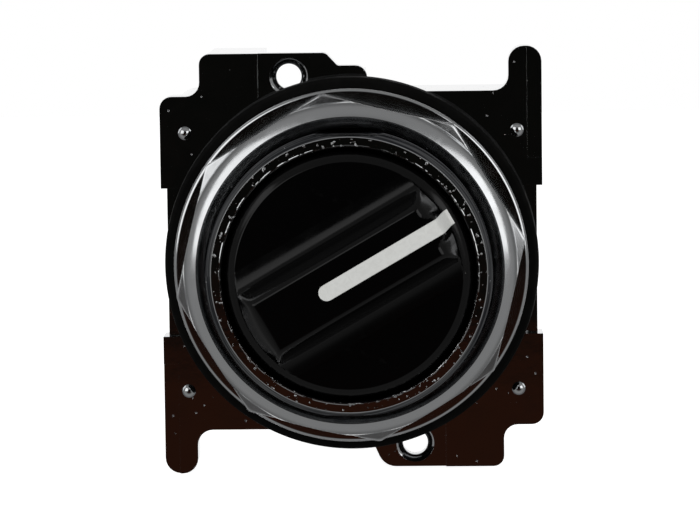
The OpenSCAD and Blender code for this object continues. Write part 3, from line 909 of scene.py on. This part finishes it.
def finish(slot, metallic=0.0, **constants):
    """A new material for one slot, and its node tree and shader."""
    material = bpy.data.materials.new(slot + "_finish")
    material.use_nodes = True
    shader = material.node_tree.nodes["Principled BSDF"]
    shader.inputs["Metallic"].default_value = metallic
    for key, value in constants.items():
        shader.inputs[key.replace("_", " ")].default_value = value
    finishes[slot] = material
    return material.node_tree, shader


def bump(tree, shader, layers):
    """Bumps the surface by several heights: (height, depth in mm) pairs."""
    normal = None
    for height, depth in layers:
        inputs = {"Height": height, "Distance": depth * MM, "Strength": 1.0}
        if normal is not None:
            inputs["Normal"] = normal
        normal = add(tree, "ShaderNodeBump", inputs).outputs[0]
    tree.links.new(normal, shader.inputs["Normal"])


# %% [markdown]
# ## Chrome
#
# Chrome plate is a dark mirror: it shows almost nothing of its own colour and all of what
# stands around it. On the casting the mirror is a little wavy, because zinc is cast and not
# ground, and pinholes show as fine bright specks. The bushing's end ring isn't polished before
# plating, so there small nicks glitter, and a broken ridge runs round its inner edge. The
# thread is painted a dark bluish grey as shade, with streaks left by the turning tool. The nut
# and the washer are turned and stamped steel, with a smoother, slightly
# satin plate.

# %% Chrome for the casting: where each effect shows
CHROME = rgb(0.62, 0.63, 0.64)
# Pits take this darker grey: dirt under the plate and painted shade in the pinholes.
PLATE_SHADOW = rgb(0.30, 0.30, 0.31)
# A dark bluish grey painted on the thread as shade.
THREAD_PAINTED_SHADE = rgb(0.022, 0.025, 0.030)
RING_WIDTH = 1.1
RIDGE_INSET = 0.2
RIDGE_WIDTH = 0.12
THREAD_SHOWN = 7.0
ring_inner = radii("knob_seal")[1]
ring_outer = ring_inner + RING_WIDTH
bushing_end = depths("casing")[1]
tree, shader = finish("chromed_casting", metallic=1.0)
where = add(tree, "ShaderNodeTexCoord").outputs["Object"]
axes = add(tree, "ShaderNodeSeparateXYZ", {0: where}).outputs
squares = [calc(tree, "POWER", axes[i], 2.0) for i in (0, 2)]
from_axis = calc(tree, "SQRT", calc(tree, "ADD", *squares))
end_face = fade(tree, axes[1], -(bushing_end - 0.25) * MM, -(bushing_end - 0.1) * MM)
on_ring = fade(tree, from_axis, ring_outer * MM, (ring_outer - 0.15) * MM)
rough_ring = calc(tree, "MULTIPLY", end_face, on_ring)
thread_start = bushing_end - THREAD_SHOWN
thread = fade(tree, axes[1], -thread_start * MM, -(thread_start + 0.5) * MM)
print("end ring from", round(ring_inner, 2), "to", round(ring_outer, 2), "mm, thread from", thread_start)

# %% [markdown]
# Two sets of pits give the dirt under the plate, coloured darker with painted shade in the pinholes, and the finer
# one lies on the end ring only.
# In the thread the streaks run round the axis, so their noise is read in turned coordinates:
# distance from the axis, distance out of the panel, and angle.

# %% Chrome for the casting: pits, painted shade in the thread, and gloss
STREAKS_ACROSS = 6.0
STREAKS_AROUND = 2.0
pits = use(tree, pit_fx, "Mask", spacing=1.1, width=0.13, share=0.45)
grit = use(tree, pit_fx, "Mask", spacing=0.6, width=0.12, share=0.2)
pit_dirt_and_shade = calc(tree, "MAXIMUM", pits, calc(tree, "MULTIPLY", grit, rough_ring))
around = calc(tree, "ARCTAN2", axes[2], axes[0])
turning = add(tree, "ShaderNodeCombineXYZ", {
    0: calc(tree, "MULTIPLY", from_axis, STREAKS_ACROSS / MM),
    1: calc(tree, "MULTIPLY", axes[1], STREAKS_ACROSS / MM),
    2: calc(tree, "MULTIPLY", around, STREAKS_AROUND)}).outputs[0]
lines = add(tree, "ShaderNodeTexNoise", {"Vector": turning, "Scale": 1.0, "Detail": 3.0}).outputs[0]
# The thread beyond the end ring is painted dark as shade, a little less dark along the turning streaks.
off_edge = fade(tree, from_axis, (ring_outer + 0.02) * MM, (ring_outer + 0.1) * MM)
streaks = fade(tree, lines, 0.35, 0.65, 0.98, 0.7)
thread_shade_mask = calc(tree, "MULTIPLY", calc(tree, "MULTIPLY", thread, off_edge), streaks)
plated = mix_colour(tree, thread_shade_mask, CHROME, THREAD_PAINTED_SHADE)
tree.links.new(mix_colour(tree, pit_dirt_and_shade, plated, PLATE_SHADOW), shader.inputs["Base Color"])
gloss = use(tree, smear_fx, "Value", size=5.0, low=0.04, high=0.09)
rough = calc(tree, "MAXIMUM", gloss, calc(tree, "MULTIPLY", pit_dirt_and_shade, 0.32))
tree.links.new(rough, shader.inputs["Roughness"])
print("casting's plate nodes:", len(tree.nodes))

# %% Chrome for the casting: waves, pits, and the nicks and ridge on the bushing's end
waves = use(tree, grain_fx, "Height", size=5.0)
pit_depth = calc(tree, "MULTIPLY", pit_dirt_and_shade, -1.0)
nicks = fade(tree, use(tree, grain_fx, "Height", size=0.6), 0.6, 0.72)
sand = calc(tree, "MULTIPLY", nicks, rough_ring)
ridge_foot = (ring_inner + RIDGE_INSET) * MM
at_ridge = fade(tree, from_axis, ridge_foot, ridge_foot + RIDGE_WIDTH * MM, 1.0, 0.0)
broken = fade(tree, use(tree, grain_fx, "Height", size=1.6), 0.42, 0.56)
ridge = calc(tree, "MULTIPLY", at_ridge, calc(tree, "MULTIPLY", broken, end_face))
bump(tree, shader, [(waves, 0.02), (pit_depth, 0.02), (sand, 0.035), (ridge, 0.035)])
print("casting's nodes in all:", len(tree.nodes))

# %% Chrome for the nut and the washer
for slot, satin, pit_share in (("chromed_nut", 0.21, 0.05), ("chromed_washer", 0.12, 0.08)):
    tree, shader = finish(slot, metallic=1.0)
    pits = use(tree, pit_fx, "Mask", spacing=1.3, width=0.09, share=pit_share)
    # Pits darken to the grey of dirt and painted shade in the pinholes.
    tree.links.new(mix_colour(tree, pits, CHROME, PLATE_SHADOW), shader.inputs["Base Color"])
    gloss = use(tree, smear_fx, "Value", size=3.0, low=satin * 0.8, high=satin * 1.25)
    rough = calc(tree, "MAXIMUM", gloss, calc(tree, "MULTIPLY", pits, 0.4))
    tree.links.new(rough, shader.inputs["Roughness"])
    waves = use(tree, grain_fx, "Height", size=4.0)
    bump(tree, shader, [(waves, 0.008), (calc(tree, "MULTIPLY", pits, -1.0), 0.012)])

# %% [markdown]
# ## Rubber and plastic
#
# The rubber is nearly black with a dry, dusty bloom. The knob's plastic is black too, but
# glossier, with the faint texture of its mould, a little paler along the grip's rubbed edges
# and with a few grains of dust. The indicator is a slightly grey white with some dirt on it.

# %% Rubber for the gasket and the seals
for slot, shade in (("gasket_rubber", 0.0022), ("seal_rubber", 0.006)):
    tree, shader = finish(slot, Specular_IOR_Level=0.07)
    bloom = use(tree, smear_fx, "Value", size=3.5, low=0.0, high=0.6)
    clean, dusty = rgb(shade, shade, shade * 0.9), rgb(shade * 2.2, shade * 2.2, shade * 2)
    tree.links.new(mix_colour(tree, bloom, clean, dusty), shader.inputs["Base Color"])
    rough = use(tree, smear_fx, "Value", size=2.0, low=0.62, high=0.8)
    tree.links.new(rough, shader.inputs["Roughness"])
    bump(tree, shader, [(use(tree, grain_fx, "Height", size=0.25), 0.02)])

# %% Black plastic for the knob
KNOB_BLACK = rgb(0.0016, 0.0016, 0.0017)
KNOB_RUBBED = rgb(0.006, 0.006, 0.006)
DUST = rgb(0.12, 0.12, 0.11)
tree, shader = finish("black_thermoplastic", Specular_IOR_Level=0.24)
dust = use(tree, pit_fx, "Mask", spacing=2.4, width=0.09, share=0.22)
wear = use(tree, wear_fx, "Mask", size=0.8, amount=0.35)
worn = mix_colour(tree, wear, KNOB_BLACK, KNOB_RUBBED)
tree.links.new(mix_colour(tree, dust, worn, DUST), shader.inputs["Base Color"])
gloss = use(tree, smear_fx, "Value", size=4.0, low=0.11, high=0.17)
rough = calc(tree, "ADD", gloss, calc(tree, "MULTIPLY", dust, 0.4))
tree.links.new(rough, shader.inputs["Roughness"])
bump(tree, shader, [(use(tree, grain_fx, "Height", size=0.16), 0.0015)])

# %% White plastic for the indicator line
LINE_WHITE = rgb(0.93, 0.94, 0.91)
LINE_DIRT = rgb(0.42, 0.41, 0.38)
tree, shader = finish("white_thermoplastic", Specular_IOR_Level=0.4)
dirt = use(tree, smear_fx, "Value", size=0.7, low=0.0, high=0.12)
specks = use(tree, pit_fx, "Mask", spacing=0.8, width=0.06, share=0.12)
soiled = mix_colour(tree, calc(tree, "MAXIMUM", dirt, specks), LINE_WHITE, LINE_DIRT)
tree.links.new(soiled, shader.inputs["Base Color"])
tree.links.new(use(tree, smear_fx, "Value", size=1.5, low=0.4, high=0.55), shader.inputs["Roughness"])
bump(tree, shader, [(use(tree, grain_fx, "Height", size=0.2), 0.006)])

# %% [markdown]
# ## The finishes inside
#
# Acetal is a milky, slightly waxy plastic, so light sinks into it a little. Nylon is duller.
# Zinc-plated steel is bluish with soft crystal patches, which are larger on plated sheet and
# small on drawn spring steel, and sintered bronze is dull and porous. They differ in numbers
# only, so one helper makes them all.

# %% Plastics and metals inside
def patchy_finish(slot, light, dark, patch_size, gloss_size, low, high, grain_size, depth, **constants):
    """A finish with patches of two colours, patches of roughness, and a fine grain."""
    tree, shader = finish(slot, **constants)
    patches = use(tree, smear_fx, "Value", size=patch_size, low=0.0, high=1.0)
    tree.links.new(mix_colour(tree, patches, light, dark), shader.inputs["Base Color"])
    rough = use(tree, smear_fx, "Value", size=gloss_size, low=low, high=high)
    tree.links.new(rough, shader.inputs["Roughness"])
    bump(tree, shader, [(use(tree, grain_fx, "Height", size=grain_size), depth)])


patchy_finish("natural_acetal", rgb(0.78, 0.76, 0.70), rgb(0.70, 0.68, 0.60), 3.0, 2.0, 0.32, 0.45,
              0.3, 0.006, Specular_IOR_Level=0.4, Subsurface_Weight=0.15)
patchy_finish("black_nylon", rgb(0.018, 0.018, 0.020), rgb(0.035, 0.035, 0.036), 4.0, 2.5, 0.45, 0.6,
              0.2, 0.012, Specular_IOR_Level=0.4)
METALS_INSIDE = {
    # slot: light colour, dark colour, patch size, roughness from and to, grain size, bump depth
    "zinc_steel": (rgb(0.66, 0.68, 0.72), rgb(0.48, 0.50, 0.55), 1.6, 0.24, 0.38, 0.5, 0.006),
    "plated_sheet": (rgb(0.68, 0.68, 0.67), rgb(0.55, 0.55, 0.54), 7.0, 0.22, 0.36, 0.25, 0.006),
    "spring_steel": (rgb(0.60, 0.60, 0.61), rgb(0.40, 0.40, 0.42), 0.8, 0.18, 0.3, 0.12, 0.004),
    "sintered_bronze": (rgb(0.62, 0.42, 0.22), rgb(0.34, 0.21, 0.10), 0.5, 0.4, 0.6, 0.15, 0.02),
}
for slot, (light, dark, patch_size, low, high, grain_size, depth) in METALS_INSIDE.items():
    patchy_finish(slot, light, dark, patch_size, patch_size * 0.7, low, high, grain_size, depth,
                  metallic=1.0)

# %% Give every piece its finish
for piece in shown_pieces():
    piece.data.materials.clear()
    piece.data.materials.append(finishes[piece["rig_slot"]])
print("finishes:", sorted(finishes))

# %% [markdown]
# # The studio
#
# Chrome and black plastic are lit by what they reflect, so the studio matters as much as the
# materials. The switch stands on a plain white floor before a white ground. Two soft boxes
# stand above and in front, left and right, and the room is dark where the camera stands, so the
# flat chrome faces look black and only their edges and curves shine. The world sends each kind
# of ray its own light: white to the camera, the dark room to reflections, and an even grey to
# matt surfaces. The floor would only add its glow to the chrome, so reflections skip it.

# %% The camera
CAMERA_DISTANCE = 0.400
CAMERA_AZIMUTH = math.radians(1.46)
CAMERA_ELEVATION = math.radians(6.02)
CAMERA_ROLL = math.radians(-0.7)
CAMERA_TARGET = Vector((-0.00024, 0.0, -0.00004))
CAMERA_LENS = 189.3
SENSOR_WIDTH = 36
NEAREST_SEEN = 0.01
back = Vector((math.sin(CAMERA_AZIMUTH) * math.cos(CAMERA_ELEVATION),
               -math.cos(CAMERA_AZIMUTH) * math.cos(CAMERA_ELEVATION), math.sin(CAMERA_ELEVATION)))
camera_data = bpy.data.cameras.new("camera")
camera_data.sensor_width = SENSOR_WIDTH
camera_data.lens = CAMERA_LENS
camera_data.clip_start = NEAREST_SEEN
camera = bpy.data.objects.new("camera", camera_data)
bpy.context.scene.collection.objects.link(camera)
camera.location = CAMERA_TARGET + back * CAMERA_DISTANCE
camera.rotation_euler = (-back).to_track_quat("-Z", "Y").to_euler()
camera.rotation_euler.rotate_axis("Z", CAMERA_ROLL)
bpy.context.scene.camera = camera
print("camera at", [round(x, 3) for x in camera.location])

# %% The room's light, as seen from the switch
ROOM_GREY = 0.26
DIP = 0.6
NEAR_DARK = rgb(0.0035, 0.0035, 0.0030)
TABLE_BROWN = rgb(0.022, 0.0075, 0.0042)
MATT_LIGHT = rgb(0.38, 0.38, 0.38)
WHITE = rgb(1, 1, 1)
world = bpy.data.worlds.new("studio")
world.use_nodes = True
bpy.context.scene.world = world
tree = world.node_tree
tree.nodes.clear()
direction = add(tree, "ShaderNodeTexCoord").outputs["Generated"]
x, y, z = add(tree, "ShaderNodeSeparateXYZ", {0: direction}).outputs

# Degrees away from the bushing's axis: dark in front, grey at the sides, white behind.
off_axis = calc(tree, "DEGREES", calc(tree, "ARCCOSINE", calc(tree, "MULTIPLY", y, -1.0)))
side_room = fade(tree, off_axis, 24.0, 62.0, 0.0, ROOM_GREY)
behind = fade(tree, off_axis, 128.0, 150.0, 0.0, 1.0)
dip = fade(tree, off_axis, 88.0, 118.0, 1.0, DIP)
room = calc(tree, "MULTIPLY", side_room, dip)
grey_room = calc(tree, "MAXIMUM", room, behind)
table = calc(tree, "MULTIPLY", fade(tree, z, -0.115, -0.135), fade(tree, off_axis, 40.0, 20.0))
near_dark = mix_colour(tree, table, NEAR_DARK, TABLE_BROWN)
grey = add(tree, "ShaderNodeCombineXYZ", {0: grey_room, 1: grey_room, 2: grey_room}).outputs[0]
seen_light = add(tree, "ShaderNodeVectorMath", {0: near_dark, 1: grey}, operation="ADD").outputs[0]
ray = add(tree, "ShaderNodeLightPath").outputs
filled = mix_colour(tree, ray["Is Diffuse Ray"], seen_light, MATT_LIGHT)
shown = mix_colour(tree, ray["Is Camera Ray"], filled, WHITE)
background = add(tree, "ShaderNodeBackground", {"Color": shown, "Strength": 1.0})
add(tree, "ShaderNodeOutputWorld", {"Surface": background.outputs[0]})
print("room nodes:", len(tree.nodes))


# %% The soft boxes
SOFT_BOX_DISTANCE = 0.6


def soft_box(name, azimuth, tilt, width, height, radiance):
    """A rectangular light: azimuth round the bushing's axis and tilt away from it, in degrees."""
    around, off = math.radians(azimuth), math.radians(tilt)
    sideways = math.sin(off)
    toward = Vector((math.cos(around) * sideways, -math.cos(off), math.sin(around) * sideways))
    data = bpy.data.lights.new(name, "AREA")
    data.shape = "RECTANGLE"
    data.size, data.size_y = width, height
    data.energy = radiance * math.pi * width * height
    lamp = bpy.data.objects.new(name, data)
    bpy.context.scene.collection.objects.link(lamp)
    lamp.location = toward * SOFT_BOX_DISTANCE
    lamp.rotation_euler = toward.to_track_quat("Z", "Y").to_euler()
    lamp.visible_camera = False
    print(name, "at", [round(x, 3) for x in lamp.location])


soft_box("soft_box_right", azimuth=24, tilt=52, width=0.46, height=0.42, radiance=1.28)
soft_box("soft_box_left", azimuth=151, tilt=50, width=0.56, height=0.50, radiance=1.15)

# %% The floor
FLOOR_SIZE = 1.2
FLOOR_GLOW = 0.9
floor_level = cad_box[0].z
mesh = bpy.data.meshes.new("floor")
corner = FLOOR_SIZE / 2
mesh.from_pydata([(-corner, -corner, floor_level), (corner, -corner, floor_level),
                  (corner, corner, floor_level), (-corner, corner, floor_level)], [], [(0, 1, 2, 3)])
floor = bpy.data.objects.new("floor", mesh)
bpy.context.scene.collection.objects.link(floor)
floor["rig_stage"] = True
floor_paint = bpy.data.materials.new("floor_paint")
floor_paint.use_nodes = True
shader = floor_paint.node_tree.nodes["Principled BSDF"]
shader.inputs["Base Color"].default_value = rgb(0.8, 0.8, 0.8)
shader.inputs["Roughness"].default_value = 0.9
shader.inputs["Emission Color"].default_value = WHITE
shader.inputs["Emission Strength"].default_value = FLOOR_GLOW
mesh.materials.append(floor_paint)
floor.visible_glossy = False
floor.visible_diffuse = False
bpy.context.scene.view_settings.view_transform = "Standard"
print("floor at", round(floor_level / MM, 2), "mm")

# %% [markdown]
# Both boxes, the CAD model's and the visual model's, are printed. The visual model has to
# stay inside the CAD model's box.

# %% Write the sizes and finish
shown_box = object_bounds()
for name, (low, high) in (("CAD box", cad_box), ("visual box", shown_box)):
    print(name, [round(x / MM, 2) for x in low], [round(x / MM, 2) for x in high])
